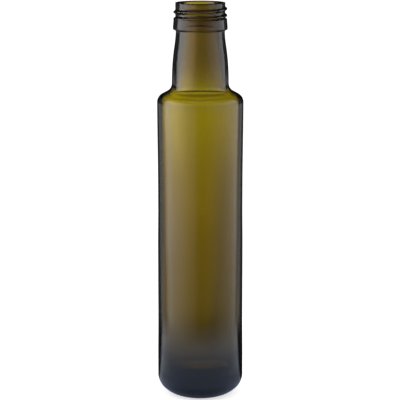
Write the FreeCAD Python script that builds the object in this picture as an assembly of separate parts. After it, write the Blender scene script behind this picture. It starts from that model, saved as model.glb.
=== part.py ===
"""Empty glass oil bottle, 250 ml size: a cylindrical body with a rounded, stepped
shoulder, a short bell-shaped neck and a screw finish above a plain collar.

One blown piece of glass, so one solid. Millimetres, +Z up. The origin is on the
bottle's axis, on the plane that its contact ring stands on.
"""
import FreeCAD, Part
import math
import os

Vector = FreeCAD.Vector

# ---- Driving dimensions: radii are from the axis, heights from the standing plane,
# and depths down from the lip ----

overall_height = 226.0
body_radius = 24.48
body_wall = 2.6
shoulder_depth = 56.1

# Label panel, blown a little inside the two contact bands that guard it.
# Its lower half is measured up from the base, its upper half down from the shoulder.
shoulder_band_inset = 0.02
panel_waist_inset = 0.35
panel_belly_inset = 0.16
heel_band_top = 22.0
panel_lower_run = 22.0
panel_upper_run = 47.9
panel_waist_length = 12.0
panel_middle_run = 24.0

# Heel: a small arc at the side that runs into a larger one underneath
heel_side_radius = 9.8
heel_under_radius = 16.3
heel_join_angle = 45.0
contact_ring_inset = 9.48
contact_ring_width = 1.6
push_up_depth = 3.2

# Inside of the base: a rounded corner that runs into a low dome
inner_heel_radius = 8.0
inner_dome_rise = 2.4
base_thickness = 6.7

# Shoulder: a fillet from the neck, a short cone, and an arc into the body
shoulder_slope = 28.4
shoulder_radius = 5.2
shoulder_fillet_radius = 5.3
inner_shoulder_radius = 3.3
inner_shoulder_fillet_radius = 10.5

# Neck: one smooth bell curve, upright at its waist under the collar. Each reach is
# how far the curve holds its direction at that end.
neck_base_radius = 16.08
neck_wall = 3.5
neck_waist_inset = 0.22
neck_lean = 0.3
neck_waist_reach = 7.8
neck_skirt_reach = 18.0

# Finish: bore, rounded lip, and the plain wall that carries the thread and the collar
bore_radius = 9.5
bore_length = 19.4
finish_radius = 14.03
lip_outer_radius = 1.6
lip_inner_radius = 1.0
collar_top_depth = 8.8
collar_bottom_depth = 15.35
collar_top_step = 1.02
collar_bottom_step = 1.39
collar_top_edge_radius = 0.6
collar_bottom_edge_radius = 1.0

# Thread: right-hand, one start, sinking into the wall at its top end and into the
# collar at its lower end. Angles are about the axis from +X and grow with height.
thread_pitch = 3.75
thread_height = 1.08
thread_base_width = 2.8
thread_crest_width = 0.7
thread_depth_in_wall = 0.5
thread_fade_depth = 0.25
thread_fade_angle = 50.0
thread_top_angle = 60.0
thread_depth_at_zero = 3.4
thread_depth_in_collar = 1.0
longest_thread_piece = 160.0
thread_sections_in_piece = 16

# ---- Worked out from them ----

shoulder_height = overall_height - shoulder_depth
collar_top_height = overall_height - collar_top_depth
collar_bottom_height = overall_height - collar_bottom_depth
neck_waist_radius = finish_radius - neck_waist_inset
inner_body_radius = body_radius - body_wall
thread_turning_depth = collar_top_depth + thread_depth_in_collar - thread_depth_at_zero
thread_bottom_angle = -360 * thread_turning_depth / thread_pitch


def point(radius, height):
    """A point of the half section, in the XZ plane."""
    return Vector(radius, 0, height)


def on_circle(centre, radius, angle):
    """The point of a circle in the XZ plane; 0 degrees is outward, 90 is up."""
    turn = math.radians(angle)
    return centre + point(radius * math.cos(turn), radius * math.sin(turn))


def arc(centre, radius, start_angle, end_angle):
    """An arc in the XZ plane, through its middle."""
    middle = (start_angle + end_angle) / 2
    return Part.Arc(
        on_circle(centre, radius, start_angle),
        on_circle(centre, radius, middle),
        on_circle(centre, radius, end_angle),
    ).toShape()


def line(start, end):
    return Part.LineSegment(start, end).toShape()


def start_of(edge):
    """Where an edge starts, in the direction that it was drawn."""
    return edge.valueAt(edge.FirstParameter)


def end_of(edge):
    return edge.valueAt(edge.LastParameter)


def shoulder(neck_radius, fillet_radius, corner_radius, outer_radius, corner_height):
    """Fillet, cone and corner arc between a neck and a body, from the top down.

    The corner arc ends upright at the outer radius and corner height. The fillet
    starts at the neck's lean. Both are made smaller where the step is too narrow.
    """
    slope, lean = math.radians(shoulder_slope), math.radians(neck_lean)
    fillet_share = math.cos(lean) - math.sin(slope)
    corner_share = 1 - math.sin(slope)
    room = outer_radius - neck_radius
    fit = min(1, room / (fillet_radius * fillet_share + corner_radius * corner_share))
    fillet_radius, corner_radius = fillet_radius * fit, corner_radius * fit

    corner_centre = point(outer_radius - corner_radius, corner_height)
    corner = arc(corner_centre, corner_radius, 90 - shoulder_slope, 0)
    cone_top_radius = neck_radius + fillet_radius * fillet_share
    cone_rise = (start_of(corner).x - cone_top_radius) * math.tan(slope)
    cone_top = point(cone_top_radius, start_of(corner).z + cone_rise)
    fillet_centre = cone_top + point(fillet_radius * math.sin(slope), fillet_radius * math.cos(slope))
    fillet = arc(fillet_centre, fillet_radius, 180 + neck_lean, 270 - shoulder_slope)
    if end_of(fillet).distanceToPoint(start_of(corner)) < Part.Precision.confusion():
        return [fillet, corner]
    return [fillet, line(end_of(fillet), start_of(corner)), corner]


def base_outside():
    """Push-up, contact ring and heel, from the axis outward and up."""
    ring_outer_radius = body_radius - contact_ring_inset
    ring_inner_radius = ring_outer_radius - contact_ring_width
    dome_radius = (ring_inner_radius**2 + push_up_depth**2) / (2 * push_up_depth)
    dome_centre = point(0, push_up_depth - dome_radius)
    dome_half_angle = math.degrees(math.asin(ring_inner_radius / dome_radius))
    push_up = arc(dome_centre, dome_radius, 90, 90 - dome_half_angle)

    join = math.radians(heel_join_angle)
    radius_gap = heel_under_radius - heel_side_radius
    under_centre_radius = body_radius - heel_side_radius - radius_gap * math.cos(join)
    ring_offset = ring_outer_radius - under_centre_radius
    under_centre_height = math.sqrt(heel_under_radius**2 - ring_offset**2)
    under_centre = point(under_centre_radius, under_centre_height)
    ring_angle = math.degrees(math.atan2(-under_centre_height, ring_offset))
    heel_under = arc(under_centre, heel_under_radius, ring_angle, -heel_join_angle)
    side_centre = under_centre + point(radius_gap * math.cos(join), -radius_gap * math.sin(join))
    heel_side = arc(side_centre, heel_side_radius, -heel_join_angle, 0)
    contact_ring = line(end_of(push_up), start_of(heel_under))
    return [push_up, contact_ring, heel_under, heel_side]


def step_in_wall(lower, upper):
    """Two equal arcs that carry an upright wall from one radius to another."""
    width, rise = upper.x - lower.x, upper.z - lower.z
    radius = (width**2 + rise**2) / (4 * abs(width))
    turn = math.degrees(2 * math.atan2(abs(width), rise))
    outward = math.copysign(1, width)
    lower_centre = lower + point(outward * radius, 0)
    upper_centre = upper - point(outward * radius, 0)
    if outward > 0:
        return [arc(lower_centre, radius, 180, 180 - turn), arc(upper_centre, radius, -turn, 0)]
    return [arc(lower_centre, radius, 0, turn), arc(upper_centre, radius, 180 + turn, 180)]


def body_outside(heel_top):
    """The upright side: heel band, belly and waist of the label panel, shoulder band."""
    waist_top = shoulder_height - panel_upper_run
    waist_bottom = waist_top - panel_waist_length
    levels = [
        (body_radius, heel_top.z, heel_band_top),
        (body_radius - panel_belly_inset, heel_band_top + panel_lower_run, waist_bottom - panel_middle_run),
        (body_radius - panel_waist_inset, waist_bottom, waist_top),
        (body_radius - shoulder_band_inset, shoulder_height, None),
    ]
    edges = []
    for (radius, bottom, top), (next_radius, next_bottom, _) in zip(levels, levels[1:]):
        edges.append(line(point(radius, bottom), point(radius, top)))
        edges += step_in_wall(point(radius, top), point(next_radius, next_bottom))
    return edges


def neck_outside(skirt):
    """The bell curve of the neck, from the shoulder fillet up to the collar."""
    waist = point(neck_waist_radius, collar_bottom_height)
    lean = math.radians(neck_lean)
    skirt_hold = skirt + point(-math.sin(lean), math.cos(lean)) * neck_skirt_reach
    waist_hold = waist - point(0, neck_waist_reach)
    curve = Part.BezierCurve()
    curve.setPoles([skirt, skirt_hold, waist_hold, waist])
    return [curve.toShape()]


def finish_outside():
    """Collar, plain wall of the thread and the outer half of the lip, from the neck up."""
    lower_centre = point(
        finish_radius + collar_bottom_step - collar_bottom_edge_radius,
        collar_bottom_height + collar_bottom_edge_radius,
    )
    upper_centre = point(
        finish_radius + collar_top_step - collar_top_edge_radius,
        collar_top_height - collar_top_edge_radius,
    )
    lip_centre = point(finish_radius - lip_outer_radius, overall_height - lip_outer_radius)
    lower_edge = arc(lower_centre, collar_bottom_edge_radius, -90, 0)
    upper_edge = arc(upper_centre, collar_top_edge_radius, 0, 90)
    lip = arc(lip_centre, lip_outer_radius, 0, 90)
    wall_foot = point(finish_radius, collar_top_height)
    return [
        line(point(neck_waist_radius, collar_bottom_height), start_of(lower_edge)),
        lower_edge,
        line(end_of(lower_edge), start_of(upper_edge)),
        upper_edge,
        line(end_of(upper_edge), wall_foot),
        line(wall_foot, start_of(lip)),
        lip,
    ]


def inside(lip_top):
    """The inner wall, from the lip down the bore, neck and body to the middle of the floor."""
    lip_centre = point(bore_radius + lip_inner_radius, overall_height - lip_inner_radius)
    lip = arc(lip_centre, lip_inner_radius, 90, 180)
    bore = line(end_of(lip), point(bore_radius, overall_height - bore_length))
    shoulder_edges = shoulder(
        neck_base_radius - neck_wall,
        inner_shoulder_fillet_radius,
        inner_shoulder_radius,
        inner_body_radius,
        shoulder_height,
    )
    neck = line(end_of(bore), start_of(shoulder_edges[0]))

    dome_top = push_up_depth + base_thickness
    heel_centre = point(
        inner_body_radius - inner_heel_radius,
        dome_top - inner_dome_rise + inner_heel_radius,
    )
    drop = inner_heel_radius - inner_dome_rise
    dome_radius = (heel_centre.x**2 + drop**2 - inner_heel_radius**2) / (2 * inner_dome_rise)
    dome_centre = point(0, dome_top - dome_radius)
    meeting_angle = math.degrees(math.atan2(heel_centre.x, heel_centre.z - dome_centre.z))
    heel = arc(heel_centre, inner_heel_radius, 0, -90 - meeting_angle)
    dome = arc(dome_centre, dome_radius, 90 - meeting_angle, 90)
    side = line(end_of(shoulder_edges[-1]), start_of(heel))
    return [line(lip_top, start_of(lip)), lip, bore, neck, *shoulder_edges, side, heel, dome]


def lathe():
    """The bottle without its thread: one closed half section turned about the axis."""
    base = base_outside()
    shoulder_edges = shoulder(
        neck_base_radius,
        shoulder_fillet_radius,
        shoulder_radius,
        body_radius - shoulder_band_inset,
        shoulder_height,
    )
    finish = finish_outside()
    hollow = inside(end_of(finish[-1]))
    edges = [
        *base,
        *body_outside(end_of(base[-1])),
        *shoulder_edges,
        *neck_outside(start_of(shoulder_edges[0])),
        *finish,
        *hollow,
        line(end_of(hollow[-1]), start_of(base[0])),
    ]
    wire = Part.Wire(Part.__sortEdges__(edges))
    return Part.Face(wire).revolve(Vector(0, 0, 0), Vector(0, 0, 1), 360)


def thread_section(angle):
    """The thread's section at an angle of its helix, sinking into the wall at both ends."""
    share = min(
        1,
        (angle - thread_bottom_angle) / thread_fade_angle,
        (thread_top_angle - angle) / thread_fade_angle,
    )
    swell = (thread_height + thread_fade_depth) * math.sin(math.pi / 2 * share)
    root = finish_radius - thread_depth_in_wall
    crest = finish_radius - thread_fade_depth + swell
    middle = overall_height - thread_depth_at_zero + thread_pitch * angle / 360
    half_base, half_crest = thread_base_width / 2, thread_crest_width / 2
    corners = [(root, -half_base), (crest, -half_crest), (crest, half_crest), (root, half_base)]
    turn = math.radians(angle)
    points = [
        Vector(radius * math.cos(turn), radius * math.sin(turn), middle + height)
        for radius, height in corners
    ]
    return Part.makePolygon([*points, points[0]])


def with_thread(blank):
    """The bottle with its thread, added in pieces that each turn well under once."""
    whole_angle = thread_top_angle - thread_bottom_angle
    pieces = math.ceil(whole_angle / longest_thread_piece)
    step = whole_angle / (pieces * thread_sections_in_piece)
    for piece in range(pieces):
        first = piece * thread_sections_in_piece
        sections = [
            thread_section(thread_bottom_angle + step * (first + index))
            for index in range(thread_sections_in_piece + 1)
        ]
        blank = blank.fuse(Part.makeLoft(sections, True, False))
    return blank.Solids[0]


os.makedirs("parts", exist_ok=True)
bottle = with_thread(lathe())
bottle.exportStep("parts/bottle.step")
print(f"bottle: valid {bottle.isValid()}, glass {bottle.Volume / 1000:.1f} cm3")
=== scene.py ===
"""An empty 250 ml oil bottle of dark olive glass: the blown bottle with its screw finish,
on a pale table in soft studio light. Metres, +Z up, the origin under the bottle's axis."""
import math

import bpy
import numpy as np
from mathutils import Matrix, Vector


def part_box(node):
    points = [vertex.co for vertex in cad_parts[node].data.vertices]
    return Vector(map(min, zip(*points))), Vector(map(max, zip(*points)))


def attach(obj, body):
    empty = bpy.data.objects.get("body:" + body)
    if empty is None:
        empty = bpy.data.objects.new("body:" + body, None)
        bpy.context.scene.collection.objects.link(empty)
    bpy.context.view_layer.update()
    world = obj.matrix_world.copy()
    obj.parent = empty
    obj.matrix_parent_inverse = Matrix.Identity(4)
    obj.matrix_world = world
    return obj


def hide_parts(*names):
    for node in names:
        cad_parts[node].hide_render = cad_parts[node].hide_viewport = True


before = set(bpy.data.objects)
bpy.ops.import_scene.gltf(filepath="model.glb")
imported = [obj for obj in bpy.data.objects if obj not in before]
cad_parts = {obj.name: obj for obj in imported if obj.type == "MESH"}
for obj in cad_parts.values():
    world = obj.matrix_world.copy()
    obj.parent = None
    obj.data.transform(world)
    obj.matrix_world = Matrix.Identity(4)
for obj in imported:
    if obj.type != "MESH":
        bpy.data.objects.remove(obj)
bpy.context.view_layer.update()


# ---- The bottle's outline ----
# The real bottle is one piece of glass, blown in a two-part mould and fire-polished.
# Its outside has the mould's form; its inside is softer, where the glass found its own way.

mm = 0.001
_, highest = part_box("bottle")
overall_height = highest.z
body_radius = highest.x


def line(start, end, steps):
    """Points of a straight stretch after its start, closer together near its ends."""
    shares = [(1 - math.cos(math.pi * i / steps)) / 2 for i in range(1, steps + 1)]
    return [(start[0] + (end[0] - start[0]) * s, start[1] + (end[1] - start[1]) * s) for s in shares]


def arc(centre, radius, start_angle, end_angle, steps):
    """Points of an arc with both its ends; 0 degrees is outward, 90 is up."""
    angles = np.radians(np.linspace(start_angle, end_angle, steps + 1))
    return [(centre[0] + radius * math.cos(a), centre[1] + radius * math.sin(a)) for a in angles]


def easing(start, end, steps):
    """Points of a shallow S after its start, upright at both ends."""
    points = []
    for i in range(1, steps + 1):
        share = i / steps
        ease = share * share * (3 - 2 * share)
        points.append((start[0] + (end[0] - start[0]) * ease, start[1] + (end[1] - start[1]) * share))
    return points


def bezier(start, start_hold, end_hold, end, steps):
    """Points of a cubic curve after its start."""
    points = []
    for i in range(1, steps + 1):
        t = i / steps
        weights = ((1 - t) ** 3, 3 * t * (1 - t) ** 2, 3 * t * t * (1 - t), t**3)
        corners = (start, start_hold, end_hold, end)
        points.append(tuple(sum(w * p[k] for w, p in zip(weights, corners)) for k in (0, 1)))
    return points


def shoulder_section(neck_radius, fillet_radius, corner_radius, outer_radius, corner_height):
    """Fillet, cone and corner arc between a neck and a body, from the top down."""
    slope, lean = math.radians(shoulder_slope), math.radians(neck_lean)
    corner_centre = (outer_radius - corner_radius, corner_height)
    corner = arc(corner_centre, corner_radius, 90 - shoulder_slope, 0, 14)
    cone_top = neck_radius + fillet_radius * (math.cos(lean) - math.sin(slope))
    cone_rise = (corner[0][0] - cone_top) * math.tan(slope)
    fillet_centre = (
        cone_top + fillet_radius * math.sin(slope),
        corner[0][1] + cone_rise + fillet_radius * math.cos(slope),
    )
    fillet = arc(fillet_centre, fillet_radius, 180 + neck_lean, 270 - shoulder_slope, 14)
    return fillet + line(fillet[-1], corner[0], 5)[:-1] + corner


# Base: a shallow push-up, the ring that the bottle stands on, and a heel of two arcs
push_up_depth = 3.2 * mm
contact_ring_inset, contact_ring_width = 9.48 * mm, 1.6 * mm
heel_under_radius, heel_side_radius, heel_join_angle = 16.3 * mm, 9.8 * mm, 45

ring_outer_radius = body_radius - contact_ring_inset
ring_inner_radius = ring_outer_radius - contact_ring_width
dome_radius = (ring_inner_radius**2 + push_up_depth**2) / (2 * push_up_depth)
dome_half_angle = math.degrees(math.asin(ring_inner_radius / dome_radius))
push_up = arc((0, push_up_depth - dome_radius), dome_radius, 90, 90 - dome_half_angle, 14)
radius_gap = heel_under_radius - heel_side_radius
join = math.radians(heel_join_angle)
under_centre_radius = body_radius - heel_side_radius - radius_gap * math.cos(join)
ring_offset = ring_outer_radius - under_centre_radius
under_centre = (under_centre_radius, math.sqrt(heel_under_radius**2 - ring_offset**2))
ring_angle = math.degrees(math.atan2(-under_centre[1], ring_offset))
side_centre = (body_radius - heel_side_radius, under_centre[1] - radius_gap * math.sin(join))
heel = arc(under_centre, heel_under_radius, ring_angle, -heel_join_angle, 12)
heel += arc(side_centre, heel_side_radius, -heel_join_angle, 0, 14)[1:]

# Body: the label panel lies a little inside the two contact bands that guard it
shoulder_depth = 56.1 * mm
belly_inset, waist_inset, shoulder_band_inset = 0.16 * mm, 0.35 * mm, 0.02 * mm
heel_band_top, lower_run = 22 * mm, 22 * mm
upper_run, waist_length, middle_run = 47.9 * mm, 12 * mm, 24 * mm

shoulder_height = overall_height - shoulder_depth
shoulder_band_radius = body_radius - shoulder_band_inset
belly_bottom = heel_band_top + lower_run
waist_top = shoulder_height - upper_run
waist_bottom = waist_top - waist_length
belly_top = waist_bottom - middle_run
side_levels = [
    (body_radius, heel[-1][1], heel_band_top),
    (body_radius - belly_inset, belly_bottom, belly_top),
    (body_radius - waist_inset, waist_bottom, waist_top),
    (shoulder_band_radius, shoulder_height, shoulder_height),
]
side = []
for (radius, bottom, top), (next_radius, next_bottom, _) in zip(side_levels, side_levels[1:]):
    side += line((radius, bottom), (radius, top), 6)
    side += easing((radius, top), (next_radius, next_bottom), 10)

# Shoulder and neck: fillet, cone and corner arc; then one bell curve up to the collar
shoulder_slope, neck_lean = 28.4, 0.3
shoulder_fillet_radius, shoulder_corner_radius = 5.3 * mm, 5.2 * mm
neck_base_radius, neck_wall = 16.08 * mm, 3.5 * mm
finish_radius, neck_waist_inset = 14.03 * mm, 0.22 * mm
collar_top_depth, collar_bottom_depth = 8.8 * mm, 15.35 * mm
neck_fillet_radius = 0.3 * mm
skirt_reach, waist_reach = 18 * mm, 7.8 * mm

neck_waist_radius = finish_radius - neck_waist_inset
collar_bottom = overall_height - collar_bottom_depth
collar_top = overall_height - collar_top_depth
shoulder = shoulder_section(
    neck_base_radius, shoulder_fillet_radius, shoulder_corner_radius, shoulder_band_radius, shoulder_height
)
skirt = shoulder[0]
waist = (neck_waist_radius, collar_bottom - neck_fillet_radius)
skirt_hold = (skirt[0] - skirt_reach * math.sin(math.radians(neck_lean)), skirt[1] + skirt_reach)
neck = bezier(skirt, skirt_hold, (waist[0], waist[1] - waist_reach), waist, 44)

# Collar and lip: every corner is rounded, as the hot glass leaves it
lower_edge_radius, upper_edge_radius = 1.0 * mm, 0.6 * mm
collar_lower_radius, collar_upper_radius = 15.42 * mm, 15.05 * mm
lip_outer_radius, lip_inner_radius = 1.6 * mm, 1.0 * mm
bore_radius, bore_length = 9.5 * mm, 19.4 * mm

foot_radius = collar_upper_radius - upper_edge_radius - finish_radius
under_collar = arc(
    (neck_waist_radius + neck_fillet_radius, collar_bottom - neck_fillet_radius),
    neck_fillet_radius, 180, 90, 5,
)[1:]
lower_edge_centre = (collar_lower_radius - lower_edge_radius, collar_bottom + lower_edge_radius)
upper_edge_centre = (collar_upper_radius - upper_edge_radius, collar_top - upper_edge_radius)
lower_edge = arc(lower_edge_centre, lower_edge_radius, -90, 0, 8)
upper_edge = arc(upper_edge_centre, upper_edge_radius, 0, 90, 7)
collar = line(under_collar[-1], lower_edge[0], 3)[:-1] + lower_edge
collar += line(collar[-1], upper_edge[0], 4)[:-1] + upper_edge
foot = arc((finish_radius + foot_radius, collar_top + foot_radius), foot_radius, 270, 180, 6)[1:]
lip_centre = (finish_radius - lip_outer_radius, overall_height - lip_outer_radius)
lip = arc(lip_centre, lip_outer_radius, 0, 90, 12)
thread_rows = 52
row_height = (lip[0][1] - foot[-1][1]) / thread_rows
thread_wall = [(finish_radius, foot[-1][1] + row_height * i) for i in range(1, thread_rows)]

# Inside: lip, straight bore, neck, shoulder, body, and a rounded floor with a low dome
body_wall, base_thickness = 2.6 * mm, 6.7 * mm
inner_heel_radius, inner_dome_rise = 8 * mm, 2.4 * mm
inner_fillet_radius, inner_corner_radius = 10.5 * mm, 3.3 * mm

inner_body_radius = body_radius - body_wall
dome_top = push_up_depth + base_thickness
inner_lip_centre = (bore_radius + lip_inner_radius, overall_height - lip_inner_radius)
inner_lip = arc(inner_lip_centre, lip_inner_radius, 90, 180, 10)
inner_neck_radius = neck_base_radius - neck_wall
inner_shoulder = shoulder_section(
    inner_neck_radius, inner_fillet_radius, inner_corner_radius, inner_body_radius, shoulder_height
)
bore_end = (bore_radius, overall_height - bore_length)
heel_centre = (inner_body_radius - inner_heel_radius, dome_top - inner_dome_rise + inner_heel_radius)
drop = inner_heel_radius - inner_dome_rise
floor_radius = (heel_centre[0] ** 2 + drop**2 - inner_heel_radius**2) / (2 * inner_dome_rise)
meeting = math.degrees(math.atan2(heel_centre[0], heel_centre[1] - (dome_top - floor_radius)))
inner_heel = arc(heel_centre, inner_heel_radius, 0, -90 - meeting, 16)
inner_floor = arc((0, dome_top - floor_radius), floor_radius, 90 - meeting, 90, 14)[1:]

outline = push_up + line(push_up[-1], heel[0], 3)[:-1] + heel + side + shoulder[::-1][1:] + neck
outline += under_collar + collar + foot + thread_wall + lip
outside_rows = len(outline)
outline += line(lip[-1], inner_lip[0], 3)[:-1] + inner_lip + line(inner_lip[-1], bore_end, 10)
outline += line(bore_end, inner_shoulder[0], 14)[:-1] + inner_shoulder
outline += line(inner_shoulder[-1], inner_heel[0], 22)[:-1] + inner_heel + inner_floor


# ---- The thread ----
# A right-hand thread of one start, pressed in the finish mould: it sinks into the wall
# at its top end and into the collar at its lower end. Its crest and roots are rounded.

thread_pitch = 3.75 * mm
thread_height, thread_fade_depth = 1.08 * mm, 0.25 * mm
thread_half_base, thread_half_crest = 1.3 * mm, 0.2 * mm
thread_fade_angle, thread_top_angle = 50, 60
thread_depth_at_zero, thread_depth_in_collar = 3.4 * mm, 1.0 * mm
thread_turning_depth = collar_top_depth + thread_depth_in_collar - thread_depth_at_zero
thread_bottom_angle = -360 * thread_turning_depth / thread_pitch


def thread_relief(angles, heights):
    """How far the thread stands out of the plain wall at those angles and heights."""
    relief = np.zeros(np.broadcast(angles, heights).shape)
    for turns in (-2, -1, 0):
        angle = angles + 360 * turns
        share = np.minimum(angle - thread_bottom_angle, thread_top_angle - angle) / thread_fade_angle
        swell = np.sin(math.pi / 2 * np.clip(share, 0, 1))
        crest = (thread_height + thread_fade_depth) * swell - thread_fade_depth
        middle = overall_height + thread_pitch * angle / 360 - thread_depth_at_zero
        flank = (thread_half_base - abs(heights - middle)) / (thread_half_base - thread_half_crest)
        flank = np.clip(flank, 0, 1)
        relief = np.maximum(relief, np.clip(crest, 0, None) * flank * flank * (3 - 2 * flank))
    return relief


# ---- The glass body ----
# The outline turned about the axis, with the thread raised on its finish and the faint
# unevenness of blown glass on its inner wall.

columns = 208
wall_unevenness = 0.09 * mm
even_part, uneven_start = 4 * mm, 20 * mm

angles = np.linspace(0, 360, columns, endpoint=False)[None, :]
radii = np.array([r for r, _ in outline])[:, None]
heights = np.array([z for _, z in outline])[:, None]
rows = np.arange(len(outline))[:, None]

on_finish = (rows < outside_rows) & (heights > collar_top - upper_edge_radius)
threaded = np.where(on_finish, finish_radius + thread_relief(angles, heights), 0)
surface_radii = np.maximum(np.broadcast_to(radii, (len(outline), columns)), threaded)

turn = np.radians(angles)
waves = 0
for lobes, rise, phase, strength in ((2, 31, 0.6, 1.0), (3, -57, 2.1, 0.6), (5, 96, 4.0, 0.35)):
    waves = waves + strength * np.sin(lobes * turn + rise * heights + phase)
in_body = (rows >= outside_rows) & (heights < shoulder_height) & (heights > inner_heel[0][1])
share = np.clip((shoulder_height - even_part - heights) / uneven_start, 0, 1)
share = share * np.clip((heights - inner_heel[0][1]) / uneven_start, 0, 1)
surface_radii = surface_radii + np.where(in_body, wall_unevenness * share * waves / 2, 0)

points = np.empty((len(outline), columns, 3))
points[..., 0] = surface_radii * np.cos(turn)
points[..., 1] = surface_radii * np.sin(turn)
points[..., 2] = heights
ring_count = len(outline) - 2
vertices = [(0, 0, outline[0][1]), *map(tuple, points[1:-1].reshape(-1, 3)), (0, 0, outline[-1][1])]
last = len(vertices) - 1
faces = []
for column in range(columns):
    beside = (column + 1) % columns
    faces.append((0, 1 + beside, 1 + column))
    for ring in range(ring_count - 1):
        near, far = 1 + ring * columns, 1 + (ring + 1) * columns
        faces.append((near + column, near + beside, far + beside, far + column))
    top = 1 + (ring_count - 1) * columns
    faces.append((last, top + column, top + beside))

bottle_mesh = bpy.data.meshes.new("bottle_glass")
bottle_mesh.from_pydata(vertices, [], faces)
bottle_mesh.validate()
bottle_mesh.shade_smooth()
bottle = bpy.data.objects.new("bottle_glass", bottle_mesh)
bpy.context.scene.collection.objects.link(bottle)
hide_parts("bottle")
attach(bottle, "root")


# ---- The olive glass ----
# Antique green glass, coloured all through: it swallows blue at once and lets more red
# pass than green, so a thin wall is bright olive and a thick one nearly black.


class Shade:
    """A socket in the node tree of a finish. Arithmetic on it adds Math nodes."""

    def __init__(self, tree, socket=None):
        self.tree = tree
        self.socket = socket

    def node(self, kind, settings=None, inputs=None, output=0):
        """A new node: its settings are made first, then its values and links."""
        made = self.tree.nodes.new(kind)
        for name, value in (settings or {}).items():
            setattr(made, name, value)
        for name, value in (inputs or {}).items():
            if isinstance(value, Shade):
                self.tree.links.new(value.socket, made.inputs[name])
            else:
                made.inputs[name].default_value = value
        return Shade(self.tree, made.outputs[output] if made.outputs else None)

    def maths(self, operation, *others):
        return self.node("ShaderNodeMath", {"operation": operation}, dict(enumerate((self, *others))))

    def ramp(self, start, end, low=0.0, high=1.0):
        """A smooth change from low to high while this value goes from start to end."""
        inputs = {"Value": self, "From Min": start, "From Max": end, "To Min": low, "To Max": high}
        return self.node("ShaderNodeMapRange", {"interpolation_type": "SMOOTHSTEP"}, inputs)

    def __add__(self, other):
        return self.maths("ADD", other)

    def __radd__(self, other):
        return self.maths("ADD", other)

    def __sub__(self, other):
        return self.maths("SUBTRACT", other)

    def __rsub__(self, other):
        return (self * -1) + other

    def __mul__(self, other):
        return self.maths("MULTIPLY", other)

    def __rmul__(self, other):
        return self.maths("MULTIPLY", other)

    def __truediv__(self, other):
        return self.maths("DIVIDE", other)


def blank_tree(owner):
    """The empty node tree of a material or a world."""
    owner.use_nodes = True
    owner.node_tree.nodes.clear()
    return Shade(owner.node_tree)


glass_index = 1.52
red_taken, green_taken, blue_taken = 262.0, 331.0, 1130.0
wash_scale, wash_detail, wash_depth = 55.0, 2.0, 0.01 * mm

olive_glass = bpy.data.materials.new("olive_glass")
glass = blank_tree(olive_glass)
place = glass.node("ShaderNodeTexCoord", output="Object")
grain = {"Vector": place, "Scale": wash_scale, "Detail": wash_detail}
polish = glass.node("ShaderNodeTexNoise", None, grain)
mould_wash = glass.node("ShaderNodeBump", None, {"Height": polish, "Strength": 1.0, "Distance": wash_depth})
clear_glass = glass.node(
    "ShaderNodeBsdfPrincipled",
    None,
    {
        "Base Color": (1, 1, 1, 1),
        "Roughness": 0.0,
        "IOR": glass_index,
        "Transmission Weight": 1.0,
        "Normal": mould_wash,
    },
)
colour_kept = (1 - red_taken / blue_taken, 1 - green_taken / blue_taken, 0.0, 1)
tint = glass.node("ShaderNodeVolumeAbsorption", None, {"Color": colour_kept, "Density": blue_taken})
glass.node("ShaderNodeOutputMaterial", None, {"Surface": clear_glass, "Volume": tint})
bottle_mesh.materials.append(olive_glass)


# ---- The table ----
# A plain pale table, white to the eye. Seen through the glass it glows with painted light that
# falls away into painted shade near the bottle; mirrored in the glass, it is a painted reflection
# whose near part is a cool white and then ends.

table_half_width, table_drop = 15, 0.2 * mm
table_paint = (0.8, 0.8, 0.8, 1)
camera_lift = 0.62

# A ramp is where a change starts, where it ends and its two values, or else 0 and 1.
# Here it goes by the distance from the bottle, or sideways: -1 is left of it, 1 right.
# Painted light and shade of the table as the glass shows it: dark near the bottle, brighter far out
shade_power, shade_at_metre, brightest_table = 0.38, 0.76, 1.08
shade_edge, far_gain = (0.02, 0.225), (0.7, 1.5, 0.0, 0.4)
shaded_tint, far_tint, tint_change = (1.0, 0.88, 0.9, 1), (1.0, 1.12, 1.0, 1), (0.45, 1.5)
brighter_left, darker_right = (-0.07, 0.01, 1.06, 0.915), (0.025, 0.1, 1.0, 0.7)
side_glow, side_glow_start = (0.03, 0.11, 0.0, 0.38), (0.55, 1.1)
base_glow, base_glow_start = (0.052, 0.037, 0.0, 0.15), (0.026, 0.035)
base_glow_sides = (0.1, 0.5, 1.0, 0.0)

# The painted reflection of the table, darkened near the bottle by a painted contact shadow,
# where some ramps go by the degrees round the bottle from the front
mirrored_near, mirrored_far, mirror_change = (0.45, 0.55, 0.8, 1), (0.92, 0.97, 1.08, 1), (0.08, 0.15)
mirror_contact, mirror_end = (0.012, 0.04, 0.2, 1.0), (0.14, 0.205)
mirror_sides = (20, 70, 1.0, 1.15)
mirror_back, mirror_back_start, back_shade = (113, 128), (0.03, 0.04), 0.97
back_turn = (0.0, 0.8, 0.0, 7.0)
turned_aside, aside_change = (60, 110), 0.4
aside_shade, aside_shade_end = (-0.5, 0.5, 0.3, 0.5), (0.1, 0.05)
inner_share = 0.4

table_mesh = bpy.data.meshes.new("table")
corners = []
for across, along in ((-1, -1), (1, -1), (1, 1), (-1, 1)):
    corners.append((across * table_half_width, along * table_half_width, -table_drop))
table_mesh.from_pydata(corners, [], [(0, 1, 2, 3)])
table = bpy.data.objects.new("table", table_mesh)
bpy.context.scene.collection.objects.link(table)

pale_table = bpy.data.materials.new("pale_table")
top = blank_tree(pale_table)
where = top.node("ShaderNodeTexCoord", output="Object")
from_bottle = top.node("ShaderNodeVectorMath", {"operation": "LENGTH"}, {0: where}, output="Value")


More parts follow.
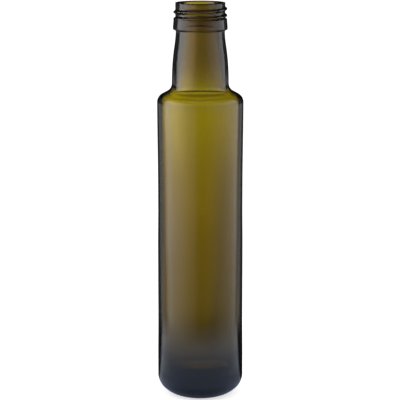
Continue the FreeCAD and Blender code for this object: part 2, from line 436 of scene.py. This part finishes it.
def ray_kinds(tree):
    """1 for a ray straight from the eye, off a gloss, through glass, through glass with no
    mirroring inside it on the way, and through a single wall that mirrored it, else 0."""
    path = tree.node("ShaderNodeLightPath").socket.node.outputs
    names = ("Is Camera Ray", "Is Glossy Ray", "Is Transmission Ray", "Glossy Depth", "Transmission Depth")
    seen, glossy, through, mirrorings, faces = [Shade(tree.tree, path[name]) for name in names]
    straight = through * (1 - mirrorings.maths("MINIMUM", 1.0))
    bent_back = through * (1 - straight) * faces.maths("LESS_THAN", 2.5)
    return seen, glossy * (1 - through), through, straight, bent_back


seen, mirrored, seen_through, straight_through, _ = ray_kinds(top)
falling_shade = from_bottle.maths("POWER", shade_power) * shade_at_metre * from_bottle.ramp(*shade_edge)
falling_shade = (falling_shade + from_bottle.ramp(*far_gain)).maths("MINIMUM", brightest_table)


def angle_from_front(direction):
    """Degrees round the axis from the front, on either side, with its sideways part."""
    parts = direction.node("ShaderNodeSeparateXYZ", None, {0: direction}).socket.node.outputs
    x, y, z = [Shade(direction.tree, parts[name]) for name in "XYZ"]
    flat_length = (x * x + y * y).maths("SQRT").maths("MAXIMUM", 1e-6)
    return (y * -1 / flat_length).maths("ARCCOSINE") * (180 / math.pi), x, z


def colour_between(share, first, second):
    """The first colour where the share is 0, the second where it is 1."""
    inputs = {"Factor": share, "A": first, "B": second}
    return share.node("ShaderNodeMix", {"data_type": "RGBA"}, inputs, output=2)


# Painted light through the glass: its painted shade falls away from the bottle, with a painted
# glow far out at the sides and a fainter one close under the base
aside, x, _ = angle_from_front(where)
sideways = x / from_bottle.maths("MAXIMUM", 1e-6)
off_centre = sideways.maths("ABSOLUTE")
glow = 1 + off_centre.ramp(*side_glow) * from_bottle.ramp(*side_glow_start)
falling_shade = falling_shade * sideways.ramp(*brighter_left) * sideways.ramp(*darker_right) * glow
glow = from_bottle.ramp(*base_glow) * from_bottle.ramp(*base_glow_start) * off_centre.ramp(*base_glow_sides)
falling_shade = falling_shade + glow
shade_colour = colour_between(from_bottle.ramp(*tint_change), shaded_tint, far_tint)

# The table's painted reflection is dark behind the bottle and dimmer close at its sides
turned_back = (aside + sideways.ramp(*back_turn)).ramp(*mirror_back)
behind = turned_back * from_bottle.ramp(*mirror_back_start) * back_shade
to_side = aside.ramp(*turned_aside)
near_sides = to_side * from_bottle.ramp(*aside_shade_end) * sideways.ramp(*aside_shade)
near_part = (1 - behind) * (1 - near_sides) * from_bottle.ramp(*mirror_contact) * aside.ramp(*mirror_sides)
paler = from_bottle.ramp(*mirror_change).maths("MAXIMUM", to_side * aside_change)
mirrored_colour = colour_between(paler, mirrored_near, mirrored_far)

# Light that the glass mirrors within itself counts as mirrored in part
mirrored = mirrored + (seen_through - straight_through) * inner_share
through_strength = straight_through * falling_shade
mirror_strength = mirrored * near_part
# The table glows only for rays from the glass: painted light through it, a painted reflection in it
through_light = top.node("ShaderNodeEmission", None, {"Color": shade_colour, "Strength": through_strength})
mirror_light = top.node("ShaderNodeEmission", None, {"Color": mirrored_colour, "Strength": mirror_strength})
glass_light = top.node("ShaderNodeAddShader", None, {0: through_light, 1: mirror_light})
paint = top.node("ShaderNodeBsdfDiffuse", None, {"Color": table_paint})
lift = top.node("ShaderNodeEmission", None, {"Strength": seen * camera_lift})
white_top = top.node("ShaderNodeAddShader", None, {0: paint, 1: lift})
in_glass = (seen_through + mirrored).maths("MINIMUM", 1.0)
solid_top = top.node("ShaderNodeMixShader", None, {0: in_glass, 1: white_top, 2: glass_light})
opening = top.node("ShaderNodeBsdfTransparent")
past_edge = mirrored * from_bottle.ramp(*mirror_end)
whole_top = top.node("ShaderNodeMixShader", None, {0: past_edge, 1: solid_top, 2: opening})
top.node("ShaderNodeOutputMaterial", None, {"Surface": whole_top})
table_mesh.materials.append(pale_table)


# ---- The studio ----
# A white room. The glass mirrors two tall soft boxes, a strong one on the left and a
# weaker one on the right, each fading towards the front, in otherwise dark surroundings.

ambient, white = 0.7, (1, 1, 1, 1)

# Ramps go by the degrees round the bottle from the front, or by the degrees of climb
left_rise, right_rise = (5, 105, 0.0, 2.15), (5, 110, 0.0, 1.08)
left_end, right_end = (98, 121, 1.0, 0.0), (114, 127, 1.0, 0.0)
left_wash, left_wash_end, left_wash_top = (0, 20, 0.0, 0.26), (40, 100, 1.0, 0.0), (-8.0, -5.5, 1.0, 0.3)
box_foot, box_head = (-20, -2, 0.5, 1.45), (20, 50, 1.0, 0.0)
lean_below, edge_lean, left_edge_foot = -8.0, 1.5, (-17.5, -14.5, 12.0, 0.0)
room_in_front, room_at_side, room_behind = 0.15, 0.5, 0.06
side_walls_start, side_walls_end, side_walls_top = (70, 125), (138, 153), (-8, -4, 1.0, 0.2)
front_foot, front_head = (-16, -9, 1.0, 0.4), (-8, -5, 0.0, 0.9)
backdrop_head, bent_back_glow = (5, 25, 1.0, 0.15), (10, 30)

studio = bpy.data.worlds.new("studio")
bpy.context.scene.world = studio
room = blank_tree(studio)
towards = room.node("ShaderNodeTexCoord", output="Generated")
aside, x, z = angle_from_front(towards)
climb = z.maths("ARCSINE") * (180 / math.pi)
on_left = x.maths("LESS_THAN", 0.0)
leaning = aside - (climb.maths("MINIMUM", lean_below) - lean_below) * edge_lean
left_edge = leaning + climb.ramp(*left_edge_foot)
wash = aside.ramp(*left_wash) * aside.ramp(*left_wash_end) * climb.ramp(*left_wash_top)
left_box = (aside.ramp(*left_rise) + wash) * left_edge.ramp(*left_end)
right_box = aside.ramp(*right_rise) * leaning.ramp(*right_end)
boxes = on_left * left_box + (1 - on_left) * right_box
boxes = boxes * climb.ramp(*box_foot) * climb.ramp(*box_head)
side_walls = aside.ramp(*side_walls_start, 0.0, room_at_side)
side_walls = side_walls - leaning.ramp(*side_walls_end, 0.0, room_at_side - room_behind)
in_front = climb.ramp(*front_foot) + climb.ramp(*front_head)
in_front = in_front * room_in_front * aside.ramp(*side_walls_start, 1.0, 0.0)
surroundings = side_walls * climb.ramp(*side_walls_top) + in_front

seen, mirrored, seen_through, straight_through, bent_back = ray_kinds(room)
unseen = 1 - seen - mirrored - seen_through
# Through the glass the room shows painted light like the table's: brighter left, darker right, glowing at
# the sides, fading upward
backdrop = climb.ramp(*backdrop_head) * x.ramp(*brighter_left) * x.ramp(*darker_right)
backdrop = backdrop * (1 + x.maths("ABSOLUTE").ramp(*side_glow))
backdrop = (straight_through * backdrop + bent_back * climb.ramp(*bent_back_glow)) * brightest_table
mirrored = mirrored + (seen_through - straight_through) * inner_share
strength = seen + backdrop + mirrored * (boxes + surroundings) + unseen * ambient
colour = colour_between(straight_through, white, far_tint)
light = room.node("ShaderNodeBackground", None, {"Color": colour, "Strength": strength})
room.node("ShaderNodeOutputWorld", None, {"Surface": light})

box_width, box_height, box_dip = 0.4, 0.9, 60
box_reach, box_setback, box_level = 0.7, 0.2, 0.5
for name, hand, power in (("left_soft_box", -1, 3.0), ("right_soft_box", 1, 2.0)):
    lamp = bpy.data.lights.new(name, "AREA")
    lamp.shape = "RECTANGLE"
    lamp.size = box_width
    lamp.size_y = box_height
    lamp.energy = power
    box = bpy.data.objects.new(name, lamp)
    box.location = (hand * box_reach, -box_setback, box_level)
    box.rotation_euler = (math.radians(box_dip), 0, math.radians(90 * hand))
    box.visible_glossy = False
    box.visible_transmission = False
    bpy.context.scene.collection.objects.link(box)


# ---- The camera ----
# A long lens a metre away, looking a little down on the bottle. Its colours are shown
# just as they are lit.

sensor_width, focal_length = 36, 159.75
camera_distance, camera_height, camera_shift, camera_dip = 0.996, 0.307, -0.17 * mm, 11

lens = bpy.data.cameras.new("camera")
lens.sensor_width = sensor_width
lens.lens = focal_length
camera = bpy.data.objects.new("camera", lens)
camera.location = (camera_shift, -camera_distance, camera_height)
camera.rotation_euler = (math.radians(90 - camera_dip), 0, 0)
bpy.context.scene.collection.objects.link(camera)
bpy.context.scene.camera = camera

bpy.context.scene.view_settings.view_transform = "Standard"
